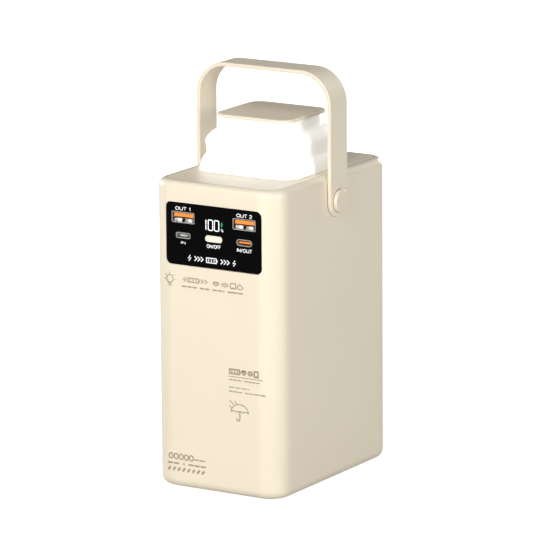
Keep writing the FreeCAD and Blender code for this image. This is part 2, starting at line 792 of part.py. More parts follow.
def make_board_parts():
    """Parts on the back of the circuit board."""
    parts = (
        # name, (x, height above the casing bottom), width, height, depth, corner
        ("inductor", (-15.0, 124.0), 12.5, 12.5, 7.0, 2.5),
        ("controller_chip", (0.0, 132.0), 7.0, 7.0, 1.0, 0.3),
        ("battery_connector", (11.0, 117.0), 12.0, 6.0, 6.0, 0.4),
        ("lamp_connector", (0.0, 146.5), 6.0, 5.0, 5.5, 0.4),
    )
    for label, (x, level), width, tall, deep, corner in parts:
        block(label, (x, bottom + level), width, tall, board_back, deep, corner)
    mosfets = new_body("mosfets")
    profile = front_sketch(mosfets, board_back)
    for x in (-20.0, -12.0, 12.0, 20.0):
        rectangle(profile, 5.0, 6.0, x, bottom + 140.0)
    pad(mosfets, profile, 1.5, flip=True)
    capacitors = new_body("capacitors")
    cans = front_sketch(capacitors, board_back)
    circles(cans, 6.3, [(x, bottom + 128.0) for x in (10.0, 17.5, 25.0)])
    pad(capacitors, cans, 7.7, flip=True)


# ---------------------------------------------------------------- battery

def cell_points(rows):
    pitch = dims["cell_pitch"]
    return [(pitch * column, dims["cell_back_row"] - pitch * row) for row in range(rows) for column in (-1, 0, 1)]


def make_cells(label, rows, low):
    body = new_body(label)
    can = level_sketch(body, low)
    circles(can, dims["cell_diameter"], cell_points(rows))
    pad(body, can, dims["cell_tall"])
    button = level_sketch(body, low + dims["cell_tall"])
    circles(button, dims["cell_button"], cell_points(rows))
    pad(body, button, dims["cell_button_tall"])


def holder_reach(rows):
    """Length and middle of a holder plate that carries so many rows."""
    margin = 10.3
    back = dims["cell_back_row"] + margin
    reach = dims["cell_pitch"] * (rows - 1) + margin * 2
    return reach, back - reach / 2


def make_holders(label, rows, levels):
    """Two plates with a hole for each cell."""
    body = new_body(label)
    length, middle = holder_reach(rows)
    for level in levels:
        profile = level_sketch(body, level)
        rectangle(profile, dims["holder_width"], length, 0, middle, 8.0)
        circles(profile, dims["holder_bore"], cell_points(rows))
        pad(body, profile, dims["holder_thick"])


def make_strips(label, stacks):
    """Nickel strips along each line of cells: rows and height of each set."""
    body = new_body(label)
    for rows, level in stacks:
        profile = level_sketch(body, level)
        length = dims["cell_pitch"] * (rows - 1) + 12
        middle = dims["cell_back_row"] - dims["cell_pitch"] * (rows - 1) / 2
        for column in (-1, 0, 1):
            rectangle(profile, dims["strip_width"], length, dims["cell_pitch"] * column, middle)
        pad(body, profile, dims["strip_thick"])


def make_battery():
    """Fifteen cells below and twelve above, all side by side electrically."""
    lower_rows, upper_rows = 5, 4
    cell_full = dims["cell_tall"] + dims["cell_button_tall"]
    lower = boss_top
    paper = lower + cell_full + dims["strip_thick"]
    upper = paper + dims["paper_thick"] + dims["strip_thick"]
    pack_top = upper + cell_full
    thick = dims["holder_thick"]
    make_cells("lower_cells", lower_rows, lower)
    make_cells("upper_cells", upper_rows, upper)
    make_holders("lower_cell_holders", lower_rows, (lower, lower + dims["cell_tall"] - thick))
    make_holders("upper_cell_holders", upper_rows, (upper, upper + dims["cell_tall"] - thick))
    make_strips("nickel_strips_bottom", [(lower_rows, lower - dims["strip_thick"])])
    make_strips(
        "nickel_strips_middle",
        [(lower_rows, paper - dims["strip_thick"]), (upper_rows, upper - dims["strip_thick"])],
    )
    make_strips("nickel_strips_top", [(upper_rows, pack_top)])
    length, middle = holder_reach(lower_rows)
    plate("insulation_sheet", dims["holder_width"], length, paper, dims["paper_thick"], 8.0, middle)
    foam_low = pack_top + dims["strip_thick"] + dims["soft_gap"]
    plate("foam_pad", 50, 36, foam_low, deck_floor - foam_low - dims["soft_gap"], 4.0, 30)
    return upper, pack_top


# ---------------------------------------------------------------- leads

LAMP_LEAD_Y = -14.0


def lead_wire(points, bend):
    """Straight runs through these points, joined by tangent arcs."""
    corners = [FreeCAD.Vector(*p) for p in points]
    edges, begin = [], corners[0]
    for before, corner, after in zip(corners, corners[1:], corners[2:]):
        inward, outward = (before - corner).normalize(), (after - corner).normalize()
        half_turn = (math.pi - inward.getAngle(outward)) / 2
        cut = bend * math.tan(half_turn)
        first, last = corner + inward * cut, corner + outward * cut
        middle = corner + (inward + outward).normalize() * (bend / math.cos(half_turn) - bend)
        edges += [Part.LineSegment(begin, first).toShape(), Part.Arc(first, middle, last).toShape()]
        begin = last
    edges.append(Part.LineSegment(begin, corners[-1]).toShape())
    return Part.Wire(edges)


def make_lead(label, points, diameter):
    """A round insulated wire along a route."""
    numbers = [[as_size(value).number for value in point] for point in points]
    path = lead_wire(numbers, dims["lead_bend"].number)
    start = FreeCAD.Vector(*numbers[0])
    ring = Part.Circle(start, FreeCAD.Vector(*numbers[1]) - start, diameter.number / 2)
    lead = doc.addObject("Part::Feature", label)
    lead.Shape = path.makePipeShell([Part.Wire(ring.toShape())], True, False)
    lead.Label = label
    lead.Placement = FreeCAD.Placement()
    nodes.append(lead)


def make_leads(upper, pack_top):
    """Battery leads to the connector below, lantern leads through the deck."""
    plug_back = board_back + 6.0 + 0.05
    plug_z = bottom + 117.0
    lane = dims["cell_back_row"].number - 3.72 * dims["cell_pitch"].number
    over = pack_top + dims["strip_thick"] + dims["lead_diameter"] / 2 + 0.05
    make_lead(
        "battery_lead_red",
        [(8, -12, over), (8, lane, over), (8, lane, plug_z), (8, plug_back, plug_z)],
        dims["lead_diameter"],
    )
    make_lead(
        "battery_lead_black",
        [(14, lane, upper + 1.2), (14, lane, plug_z), (14, plug_back, plug_z)],
        dims["lead_diameter"],
    )
    lamp_plug_back = board_back + 5.5 + 0.05
    lamp_z = bottom + 146.5
    under_board = top - dims["led_pocket"] - 0.05
    for side, name in ((-1, "red"), (1, "black")):
        make_lead(
            f"lamp_lead_{name}",
            [(1.2 * side, lamp_plug_back, lamp_z), (1.2 * side, LAMP_LEAD_Y, lamp_z),
             (1.2 * side, LAMP_LEAD_Y, under_board)],
            dims["lamp_lead_diameter"],
        )


# ---------------------------------------------------------------- lantern

def make_led_board():
    seat = top - dims["led_pocket"] + 0.05
    plate("led_board", dims["led_board_side"], dims["led_board_side"], seat, dims["led_board_thick"], 4.8)
    leds = new_body("leds")
    profile = level_sketch(leds, seat + dims["led_board_thick"])
    pitch = dims["led_pitch"]
    for row in (-1.5, -0.5, 0.5, 1.5):
        for column in (-1.5, -0.5, 0.5, 1.5):
            rectangle(profile, dims["led_length"], dims["led_width"], pitch * column, pitch * row)
    pad(leds, profile, dims["led_thick"])


def make_lamp_shade():
    """Silicone shade of two steps and a neck, hollow, with a foot that turns in over the deck."""
    body = new_body("lamp_shade")
    foot = top + dims["shade_lift"]
    step_one = top + dims["step_one_level"]
    step_two = top + dims["step_two_level"]
    neck_top = top + dims["neck_level"]
    skin = dims["shade_skin"]
    side, step_side = dims["shade_side"], dims["shade_step_side"]
    outside = (
        (side, side, dims["shade_corner"], foot, step_one),
        (step_side, step_side, dims["shade_step_corner"], step_one, step_two),
        (dims["neck_width"], dims["neck_depth"], dims["neck_corner"], step_two, neck_top),
    )
    for width, depth, corner, low, high in outside:
        profile = level_sketch(body, low)
        rectangle(profile, width, depth, corner=corner)
        pad(body, profile, high - low)
    shoulders = ((step_one, step_side.number / 2 + 0.5, "step_one_fillet"),
                 (step_two, dims["neck_width"].number / 2 + 0.5, "step_two_fillet"))
    for level, reach, name in shoulders:
        rim = outline_edges(body, level, reach)
        soften(body, "Fillet", rim, dims[name])
    floor = foot + dims["shade_foot_thick"]
    overlap = 2.0
    inside = (
        (dims["shade_foot_side"], dims["shade_foot_side"], 6.0, foot, floor + overlap),
        (side - skin * 2, side - skin * 2, dims["shade_corner"] - skin, floor, step_one - skin),
        (step_side - skin * 2.2, step_side - skin * 2.2, dims["shade_step_corner"] - skin,
         floor + overlap, step_two - skin * 1.65),
        (dims["neck_width"] - skin * 2, dims["neck_depth"] - skin * 2, dims["neck_corner"] - skin,
         floor + overlap, neck_top - skin),
    )
    for width, depth, corner, low, high in inside:
        profile = level_sketch(body, high)
        rectangle(profile, width, depth, corner=corner)
        pocket(body, profile, high - low)
    screw_holes = level_sketch(body, floor)
    circles(screw_holes, 2.4, spread(dims["ring_screw_reach"], dims["ring_screw_reach"]))
    pocket(body, screw_holes, dims["shade_foot_thick"])
    post_holes = level_sketch(body, neck_top)
    circles(post_holes, dims["cap_post"] + 0.8, [(dims["cap_post_reach"] * s, 0) for s in SIDES])
    pocket(body, post_holes, skin)


def outline_edges(body, level, reach):
    """Edges of a step's outline at this height: all of them lie outside a square of this reach."""
    names = []
    for number, edge in enumerate(body.Tip.Shape.Edges, 1):
        span = edge.BoundBox
        level_edge = abs(span.ZMin - level.number) < 0.01 and abs(span.ZMax - level.number) < 0.01
        middle = edge.valueAt((edge.FirstParameter + edge.LastParameter) / 2)
        if level_edge and max(abs(middle.x), abs(middle.y)) > reach:
            names.append(f"Edge{number}")
    return names


def make_shade_clamp():
    """Ring screwed to the deck over the shade's foot."""
    low = top + dims["shade_lift"] + dims["shade_foot_thick"] + dims["soft_gap"]
    points = spread(dims["ring_screw_reach"], dims["ring_screw_reach"])
    ring = new_body("shade_clamp_ring")
    profile = level_sketch(ring, low)
    rectangle(profile, dims["ring_outer"], dims["ring_outer"], corner=8.7)
    rectangle(profile, dims["ring_inner"], dims["ring_inner"], corner=5.7)
    circles(profile, 1.8, points)
    pad(ring, profile, dims["ring_thick"])
    seat = low + dims["ring_thick"]
    level_screws("shade_clamp_screws", points, seat, as_size(2.8), as_size(0.8), 1.5, 5.0)


def make_lamp_cap():
    """Cap with two posts through the shade's web, and the clamp plate screwed to them."""
    cap_top = top + dims["cap_level"]
    cap_low = cap_top - dims["cap_thick"]
    clamp_top = top + dims["neck_level"] - dims["shade_skin"] - dims["soft_gap"]
    posts = [(dims["cap_post_reach"] * side, 0) for side in SIDES]
    cap = plate(
        "lamp_cap", dims["cap_width"], dims["cap_depth"], cap_low, dims["cap_thick"], dims["cap_corner"])
    soften(cap, "Fillet", edges_at(cap, "Z", cap_top), 0.45)
    stem = level_sketch(cap, clamp_top + 0.05)
    circles(stem, dims["cap_post"], posts)
    pad(cap, stem, cap_low - clamp_top + 0.2)
    pilot = level_sketch(cap, clamp_top + 0.05)
    circles(pilot, 2.1, posts)
    pocket(cap, pilot, 2.0, flip=True)
    clamp = plate(
        "lamp_cap_clamp", dims["clamp_width"], dims["clamp_depth"], clamp_top - dims["clamp_thick"],
        dims["clamp_thick"], 4.0,
    )
    holes = level_sketch(clamp, clamp_top)
    circles(holes, 2.2, posts)
    pocket(clamp, holes)
    level_screws(
        "lamp_cap_screws", posts, clamp_top - dims["clamp_thick"], as_size(3.6), as_size(1.1), 2.0, 3.0,
        down=False,
    )


# ---------------------------------------------------------------- handle

def make_handle():
    """Bent band: a tall rounded frame, emptied, with its lower end cut off above the pivots' radius."""
    body = new_body("handle")
    crown = bottom + dims["handle_level"]
    arm_end = pivot_z - dims["handle_band"] / 2
    spare = dims["handle_corner"] * 2
    frame_low = arm_end - spare
    middle = (crown + frame_low) / 2
    thick = dims["handle_thick"]
    outer = front_sketch(body, 0)
    rectangle(outer, dims["handle_width"], crown - frame_low, 0, middle, dims["handle_corner"])
    pad(body, outer, dims["handle_band"], both=True)
    inner = front_sketch(body, 0)
    rectangle(
        inner, dims["handle_width"] - thick * 2, crown - frame_low - thick * 2, 0, middle,
        dims["handle_corner"] - thick,
    )
    pocket(body, inner, dims["handle_band"] + 1, both=True)
    lower = front_sketch(body, 0)
    rectangle(lower, dims["handle_width"] + 4, spare + 2, 0, arm_end - spare / 2 - 1)
    pocket(body, lower, dims["handle_band"] + 1, both=True)
    ends = [n for side in SIDES for n in arm_corners(body, arm_end, dims["handle_band"] / 2 * side)]
    soften(body, "Fillet", ends, dims["handle_band"] / 2 - 0.05)
    bore = side_sketch(body, 0)
    circles(bore, dims["pivot_bore"], [(0, pivot_z)])
    pocket(body, bore, dims["handle_width"] + 2, both=True)
    soften(body, "Fillet", band_edges(body), dims["handle_edge"])


def arm_corners(body, height, depth):
    """Edges across an arm's thickness at its lower end."""
    names = []
    for number, edge in enumerate(body.Tip.Shape.Edges, 1):
        span = edge.BoundBox
        if abs(span.ZMax - height.number) < 0.01 and abs(span.YMin - depth.number) < 0.01 \
                and abs(span.YMax - depth.number) < 0.01:
            names.append(f"Edge{number}")
    return names


def band_edges(body):
    """Edges along the band's two faces, round the arms' ends too."""
    names = []
    half_band = dims["handle_band"].number / 2
    for number, edge in enumerate(body.Tip.Shape.Edges, 1):
        span = edge.BoundBox
        flat = span.YMax - span.YMin < 0.01 and abs(abs(span.YMin) - half_band) < 0.01
        if flat and edge.Length > 3:
            names.append(f"Edge{number}")
    return names


def make_pivot(side, name):
    """Cap with a shaft through the arm and the casing wall."""
    cap_seat = dims["handle_width"] / 2 + dims["pivot_gap"]
    shaft_end = half_width - dims["wall"] - dims["pivot_boss_thick"] - 0.1
    cap = new_body(f"pivot_cap_{name}")
    head = side_sketch(cap, cap_seat * side)
    circles(head, dims["pivot_head"], [(0, pivot_z)])
    pad(cap, head, dims["pivot_head_thick"], flip=side < 0)
    soften(cap, "Fillet", edges_at(cap, "X", (cap_seat + dims["pivot_head_thick"]) * side), 0.5)
    shaft = side_sketch(cap, shaft_end * side)
    circles(shaft, dims["pivot_shaft"], [(0, pivot_z)])
    pad(cap, shaft, cap_seat - shaft_end, flip=side < 0)
    pilot = side_sketch(cap, shaft_end * side)
    circles(pilot, dims["screw_pilot"], [(0, pivot_z)])
    pocket(cap, pilot, 6, flip=side > 0)


def make_pivot_fasteners():
    """Washers and screws that hold the pivot caps from inside the casing."""
    washer_face = half_width - dims["wall"] - dims["pivot_boss_thick"] - 0.2
    washers = new_body("pivot_washers")
    screws = new_body("pivot_screws")
    thick = dims["washer_thick"]
    for side in SIDES:
        ring = side_sketch(washers, (washer_face - thick) * side)
        circles(ring, dims["washer_diameter"], [(0, pivot_z)])
        circles(ring, dims["screw_clearance"], [(0, pivot_z)])
        pad(washers, ring, thick, flip=side < 0)
        seat = washer_face - thick
        head = side_sketch(screws, seat * side)
        circles(head, dims["screw_head"], [(0, pivot_z)])
        pad(screws, head, dims["screw_head_thick"], flip=side > 0)
        shank = side_sketch(screws, seat * side)
        circles(shank, dims["screw_shank"], [(0, pivot_z)])
        pad(screws, shank, 6.0, flip=side < 0)


# ---------------------------------------------------------------- build and write

def build_all():
    make_main_shell()
    make_top_cover()
    make_bottom_cover()
    make_feet()
    make_bottom_screws()
    make_front_panel()
    make_panel_tape()
    make_power_button()
    make_push_switch()
    make_display()
    for side, name in ((-1, "left"), (1, "right")):
        make_type_a(side, name)
        make_pivot(side, name)
    make_small_port("micro_usb", -1, dims["micro_width"], dims["micro_tall"], 0.9, 4.0, 0.7)
    make_small_port("usb_c", 1, dims["usb_c_width"], dims["usb_c_tall"], 1.6, 6.7, 0.7)
    make_board()
    make_board_parts()
    upper, pack_top = make_battery()
    make_leads(upper, pack_top)
    make_led_board()
    make_lamp_shade()
    make_shade_clamp()
    make_lamp_cap()
    make_handle()
    make_pivot_fasteners()


def check_all():
    """Stop if any object failed or any sub-part is not a sound solid."""
    doc.recompute()
    for item in doc.Objects:
        if {"Invalid", "Error"} & set(item.State):
            raise RuntimeError(f"{item.Label} failed: {item.State}")
    for node in nodes:
        shape = node.Shape
        if shape.isNull() or not shape.isValid() or not shape.Solids:
            raise RuntimeError(f"{node.Label} is not a sound solid")


def write_all():
    os.makedirs("parts", exist_ok=True)
    for node in nodes:
        node.Shape.exportStep(f"parts/{node.Label}.step")
        print(f"{node.Label}: {len(node.Shape.Solids)} solids, {node.Shape.Volume / 1000:.2f} cm3")


build_all()
check_all()
write_all()
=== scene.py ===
import json
import math

import bmesh
import bpy
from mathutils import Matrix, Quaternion, Vector


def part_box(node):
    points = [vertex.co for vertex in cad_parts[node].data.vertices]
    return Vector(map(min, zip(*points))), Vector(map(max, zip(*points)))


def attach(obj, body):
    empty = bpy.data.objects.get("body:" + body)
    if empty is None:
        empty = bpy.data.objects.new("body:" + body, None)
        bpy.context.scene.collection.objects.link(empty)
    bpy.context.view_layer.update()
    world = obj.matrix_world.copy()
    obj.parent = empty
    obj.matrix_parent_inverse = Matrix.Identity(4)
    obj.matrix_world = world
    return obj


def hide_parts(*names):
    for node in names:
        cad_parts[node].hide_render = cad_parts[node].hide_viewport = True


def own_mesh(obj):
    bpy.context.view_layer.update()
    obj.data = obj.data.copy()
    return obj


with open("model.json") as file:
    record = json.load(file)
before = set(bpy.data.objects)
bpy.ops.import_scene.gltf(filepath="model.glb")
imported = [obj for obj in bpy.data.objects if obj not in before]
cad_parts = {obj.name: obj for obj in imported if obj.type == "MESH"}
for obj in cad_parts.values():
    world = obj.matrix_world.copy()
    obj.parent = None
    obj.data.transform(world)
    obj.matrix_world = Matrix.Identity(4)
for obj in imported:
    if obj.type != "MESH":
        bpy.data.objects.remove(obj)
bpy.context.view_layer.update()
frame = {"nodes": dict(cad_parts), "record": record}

MM = 0.001

# ------------------------------------------------------------------ camera

CAMERA_AZIMUTH = 31.73969
CAMERA_ELEVATION = 12.74617
CAMERA_ROLL = -0.38087
CAMERA_DISTANCE = 2.3607
CAMERA_LENS = 307.96
CAMERA_TARGET = Vector((0.00149, 0.0, 0.10171))


def away(azimuth, elevation):
    """Unit vector from the object to something seen at this azimuth and elevation."""
    turn, rise = math.radians(azimuth), math.radians(elevation)
    return Vector((math.sin(turn) * math.cos(rise), -math.cos(turn) * math.cos(rise), math.sin(rise)))


def make_camera():
    data = bpy.data.cameras.new("camera")
    data.sensor_width = 36.0
    data.lens = CAMERA_LENS
    camera = bpy.data.objects.new("camera", data)
    bpy.context.scene.collection.objects.link(camera)
    back = away(CAMERA_AZIMUTH, CAMERA_ELEVATION)
    camera.location = CAMERA_TARGET + back * CAMERA_DISTANCE
    camera.rotation_mode = "QUATERNION"
    level = (-back).to_track_quat("-Z", "Y")
    camera.rotation_quaternion = level @ Quaternion((0.0, 0.0, 1.0), math.radians(CAMERA_ROLL))
    data.clip_start, data.clip_end = 0.1, 50.0
    bpy.context.scene.camera = camera


# ------------------------------------------------------------------ light and floor

LIGHTS = (
    # name, azimuth, elevation, distance (m), width (m), height (m), power (W), colour
    ("key", 6.0, 20.0, 1.1, 0.35, 0.6, 8.7, (1.0, 0.985, 0.96)),
    ("side", 76.0, 12.0, 1.1, 0.3, 0.6, 5.7, (1.0, 1.0, 1.0)),
    ("top", -20.0, 52.0, 1.3, 0.8, 0.8, 5.0, (1.0, 1.0, 1.0)),
    ("rear", 180.0, 12.0, 1.5, 0.7, 0.5, 11.5, (1.0, 1.0, 1.0)),
    ("left", -98.0, 12.0, 1.5, 0.7, 0.5, 10.0, (1.0, 1.0, 1.0)),
)
LIGHT_AIM = Vector((0.0, 0.0, 0.1))

# the camera sees a white ground; the light that ground gives the object is dimmer
WORLD_SEEN = 1.0
WORLD_LIGHT = 0.15
FLOOR_SEEN = 0.95
FLOOR_LIGHT = 0.12
FLOOR_HALF = 12.0


def soft_light(name, azimuth, elevation, distance, wide, tall, power, colour):
    """Rectangular soft light that faces the middle of the object."""
    data = bpy.data.lights.new(name, "AREA")
    data.shape = "RECTANGLE"
    data.size, data.size_y = wide, tall
    data.energy = power
    data.color = colour
    light = bpy.data.objects.new(name, data)
    bpy.context.scene.collection.objects.link(light)
    back = away(azimuth, elevation)
    light.location = LIGHT_AIM + back * distance
    light.rotation_mode = "QUATERNION"
    light.rotation_quaternion = (-back).to_track_quat("-Z", "Y")
    light.visible_camera = False


def make_studio():
    scene = bpy.context.scene
    scene.view_settings.view_transform = "Standard"
    scene.view_settings.look = "None"
    world = bpy.data.worlds.new("studio")
    scene.world = world
    world.use_nodes = True
    tree = world.node_tree
    background = tree.nodes["Background"]
    rays = tree.nodes.new("ShaderNodeLightPath")
    level = tree.nodes.new("ShaderNodeMapRange")
    level.inputs["To Min"].default_value = WORLD_LIGHT
    level.inputs["To Max"].default_value = WORLD_SEEN
    tree.links.new(rays.outputs["Is Camera Ray"], level.inputs["Value"])
    tree.links.new(level.outputs["Result"], background.inputs["Strength"])
    background.inputs["Color"].default_value = (1.0, 1.0, 1.0, 1.0)
    for light in LIGHTS:
        soft_light(*light)
    make_floor()


def make_floor():
    mesh = bpy.data.meshes.new("floor")
    bm = bmesh.new()
    bmesh.ops.create_grid(bm, x_segments=4, y_segments=4, size=FLOOR_HALF)
    bm.to_mesh(mesh)
    bm.free()
    floor = bpy.data.objects.new("floor", mesh)
    bpy.context.scene.collection.objects.link(floor)
    look = Look("floor", (0.46, 0.46, 0.455), 0.9)
    look.vary_colour(look.noise(3.0, 3), (0.42, 0.42, 0.415))
    look.set("Emission Color", (1.0, 1.0, 1.0, 1.0))
    seen = look.add("ShaderNodeLightPath").outputs["Is Camera Ray"]
    glow = look.span(seen, 0.0, 1.0, FLOOR_LIGHT, FLOOR_SEEN)
    look.tree.links.new(glow, look.shader.inputs["Emission Strength"])
    look.bump(look.noise(250.0, 4), 0.1, 0.2)
    look.put_on(floor)


# ------------------------------------------------------------------ materials


class Look:
    """A Principled material whose colour, roughness and bump come from procedural nodes."""

    def __init__(self, name, colour, rough, metallic=0.0):
        self.material = bpy.data.materials.new(name)
        self.material.use_nodes = True
        self.tree = self.material.node_tree
        self.shader = self.tree.nodes["Principled BSDF"]
        self.place = self.add("ShaderNodeTexCoord").outputs["Object"]
        self.colour = colour
        self.colour_socket = None
        self.set("Base Color", (*colour, 1.0))
        self.set("Roughness", rough)
        self.set("Metallic", metallic)
        self.normal = None

    def add(self, kind, inputs=None, **settings):
        """A node with these settings; inputs maps a socket's name or number to a value or an output."""
        node = self.tree.nodes.new(kind)
        for name, value in settings.items():
            setattr(node, name, value)
        for name, value in (inputs or {}).items():
            if isinstance(value, bpy.types.NodeSocket):
                self.tree.links.new(value, node.inputs[name])
            else:
                node.inputs[name].default_value = value
        return node

    def set(self, name, value):
        self.shader.inputs[name].default_value = value

    def noise(self, scale, detail=3, stretch=(1.0, 1.0, 1.0)):
        """Noise from about 0 to 1, per metre, drawn out along an axis where stretch is under 1."""
        place = self.add("ShaderNodeMapping", {"Vector": self.place, "Scale": stretch}).outputs[0]
        inputs = {"Vector": place, "Scale": scale, "Detail": detail}
        return self.add("ShaderNodeTexNoise", inputs).outputs["Fac"]

    def cells(self, scale):
        inputs = {"Vector": self.place, "Scale": scale}
        return self.add("ShaderNodeTexVoronoi", inputs).outputs["Distance"]

    def span(self, value, low, high, to_low=0.0, to_high=1.0):
        inputs = {"Value": value, "From Min": low, "From Max": high, "To Min": to_low, "To Max": to_high}
        return self.add("ShaderNodeMapRange", inputs).outputs["Result"]

    def times(self, a, b):
        return self.add("ShaderNodeMath", {0: a, 1: b}, operation="MULTIPLY").outputs[0]

    def vary_colour(self, factor, other):
        """Blend towards another colour by factor."""
        now = self.colour_socket or (*self.colour, 1.0)
        node = self.add("ShaderNodeMix", data_type="RGBA")
        for name, value in (("Factor_Float", factor), ("A_Color", now), ("B_Color", (*other, 1.0))):
            socket = next(s for s in node.inputs if s.identifier == name)
            if isinstance(value, bpy.types.NodeSocket):
                self.tree.links.new(value, socket)
            else:
                socket.default_value = value
        self.colour_socket = next(s for s in node.outputs if s.identifier == "Result_Color")
        self.tree.links.new(self.colour_socket, self.shader.inputs["Base Color"])

    def vary_rough(self, factor, low, high):
        self.tree.links.new(self.span(factor, 0.25, 0.75, low, high), self.shader.inputs["Roughness"])

    def edges(self):
        """Strongest on convex edges."""
        return self.span(self.add("ShaderNodeNewGeometry").outputs["Pointiness"], 0.52, 0.6)

    def bump(self, height, strength, distance, radius=0.0):
        """Bump of this many millimetres; radius in millimetres rounds the sharp edges' shading."""
        inputs = {"Height": height, "Strength": strength, "Distance": distance * MM}
        if self.normal:
            inputs["Normal"] = self.normal
        elif radius:
            bevel = self.add("ShaderNodeBevel", {"Radius": radius * MM}, samples=4)
            inputs["Normal"] = bevel.outputs[0]
        self.normal = self.add("ShaderNodeBump", inputs).outputs[0]
        self.tree.links.new(self.normal, self.shader.inputs["Normal"])

    def put_on(self, item):
        item.data.materials.clear()
        item.data.materials.append(self.material)


EDGE_PALING = 0.35


def moulded(name, colour, rough=0.45, grain=1400.0, depth=0.02, shade=0.93, radius=0.0, edge_colour=None):
    """Moulded plastic: faint clouding, fine spark-eroded grain and paler convex edges."""
    look = Look(name, colour, rough)
    darker = tuple(c * shade for c in colour)
    look.vary_colour(look.span(look.noise(28.0, 4), 0.35, 0.75), darker)
    paler = edge_colour or tuple(min(1.0, c * 1.12 + 0.02) for c in colour)
    # every convex edge, found by pointiness, blends towards a paler colour
    look.vary_colour(look.times(look.edges(), EDGE_PALING), paler)
    look.vary_rough(look.noise(160.0, 4), rough - 0.05, rough + 0.06)
    look.bump(look.noise(grain, 2), 0.5, depth, radius)
    return look


def sheet_metal(name, colour, rough=0.3, stretch=(1.0, 1.0, 0.06), scratches=900.0):
    """Rolled or drawn metal with fine scratches one way."""
    look = Look(name, colour, rough, 1.0)
    line = look.noise(scratches, 4, stretch)
    look.vary_colour(look.span(line, 0.35, 0.7), tuple(c * 0.8 for c in colour))
    dull = tuple(c * 0.65 for c in colour)
    look.vary_colour(look.span(look.noise(60.0, 4), 0.5, 0.8, 0.0, 0.4), dull)
    look.vary_rough(line, rough - 0.08, rough + 0.12)
    look.bump(line, 0.3, 0.01)
    return look


CREAM = (0.745, 0.665, 0.525)


def cream_plastic():
    look = moulded("cream_plastic", CREAM, 0.4, 1700.0, 0.012, 0.965, 0.25, (0.80, 0.725, 0.59))
    look.set("Coat Weight", 0.25)
    look.set("Coat Roughness", 0.2)
    return look


def key_plastic():
    look = moulded("key_plastic", (0.80, 0.74, 0.62), 0.32, 1500.0, 0.01, 0.97, 0.12)
    look.set("Coat Weight", 0.3)
    look.set("Coat Roughness", 0.15)
    return look


def panel_acrylic():
    """Black acrylic: polished, with hairline wipe marks and a little dust."""
    look = Look("panel_acrylic", (0.0018, 0.0018, 0.002), 0.08)
    wipe = look.noise(300.0, 5, (0.25, 1.0, 1.0))
    look.vary_colour(look.span(look.noise(5200.0, 1), 0.74, 0.8, 0.0, 0.25), (0.05, 0.05, 0.05))
    look.vary_rough(wipe, 0.05, 0.13)
    look.bump(wipe, 0.12, 0.003)
    look.set("Specular IOR Level", 0.03)
    return look


def tongue_plastic():
    """Orange contact tongue, with painted shade that darkens it towards the back of the socket."""
    lit_end, shaded_end = -0.0520, -0.0465
    look = moulded("tongue_orange", (0.85, 0.27, 0.035), 0.42, 1200.0, 0.02, 0.85)
    depth = look.add("ShaderNodeSeparateXYZ", {0: look.place}).outputs["Y"]
    # painted shade: the colour goes to near black with depth into the socket
    look.vary_colour(look.span(depth, lit_end, shaded_end), (0.02, 0.012, 0.008))
    return look


def lit(name, colour, strength):
    """Lit marks of the display, a little brighter in places."""
    look = Look(name, colour, 0.35)
    glow = look.span(look.noise(900.0, 2), 0.3, 0.7, strength * 0.88, strength)
    look.set("Emission Color", (*colour, 1.0))
    look.tree.links.new(glow, look.shader.inputs["Emission Strength"])
    look.vary_colour(look.noise(700.0, 2), tuple(c * 0.9 for c in colour))
    look.bump(look.noise(1500.0, 2), 0.2, 0.004)
    return look


def ink(name, colour, rough):
    """Screen print: slightly uneven cover over the plastic's grain."""
    look = Look(name, colour, rough)
    thin = tuple(min(1.0, c * 1.35) for c in colour)
    look.vary_colour(look.span(look.noise(2600.0, 3), 0.5, 0.75, 0.0, 0.5), thin)
    look.vary_rough(look.noise(900.0, 3), rough - 0.08, rough + 0.08)
    look.bump(look.noise(1700.0, 2), 0.4, 0.008)
    return look


def silicone():
    """Translucent white silicone, faintly lit from inside, with a dull dusty skin."""
    look = Look("shade_silicone", (0.93, 0.93, 0.925), 0.5)
    look.vary_colour(look.span(look.noise(45.0, 4), 0.4, 0.8), (0.9, 0.9, 0.9))
    look.vary_rough(look.noise(220.0, 4), 0.45, 0.6)
    look.bump(look.noise(1300.0, 3), 0.35, 0.012)
    look.set("Subsurface Weight", 0.35)
    look.set("Subsurface Radius", (0.004, 0.004, 0.0036))
    look.set("Subsurface Scale", 1.0)
    look.set("Emission Color", (1.0, 1.0, 0.985, 1.0))
    look.set("Emission Strength", 0.2)
    look.set("Sheen Weight", 0.08)
    return look


def board_mask():
    """Solder mask over copper tracks."""
    look = moulded("board_mask", (0.012, 0.16, 0.06), 0.3, 900.0, 0.01)
    tracks = look.add("ShaderNodeTexBrick", {
        "Vector": look.add("ShaderNodeMapping", {
            "Vector": look.place, "Rotation": (math.pi / 2, 0.0, 0.0)}).outputs[0],
        "Scale": 300.0, "Mortar Size": 0.06, "Mortar Smooth": 0.2}).outputs["Fac"]
    look.vary_colour(look.times(tracks, 0.6), (0.03, 0.30, 0.12))
    look.bump(tracks, 0.5, 0.03)
    return look


def cell_sleeve():
    """Shrink sleeve: glossy film with faint draw lines and patchy gloss."""
    look = Look("cell_sleeve", (0.03, 0.17, 0.42), 0.28)
    lines = look.noise(260.0, 4, (1.0, 1.0, 0.08))
    look.vary_colour(look.span(lines, 0.4, 0.7), (0.02, 0.12, 0.34))
    look.vary_rough(look.noise(120.0, 3), 0.22, 0.4)
    look.bump(lines, 0.35, 0.04)
    look.set("Coat Weight", 0.3)
    return look


def foam_look():
    look = Look("foam", (0.035, 0.035, 0.035), 0.95)
    pores = look.cells(1600.0)
    look.vary_colour(look.span(pores, 0.0, 0.5), (0.015, 0.015, 0.015))
    look.vary_rough(look.noise(400.0, 3), 0.85, 1.0)
    look.bump(pores, 0.9, 0.25)
    return look


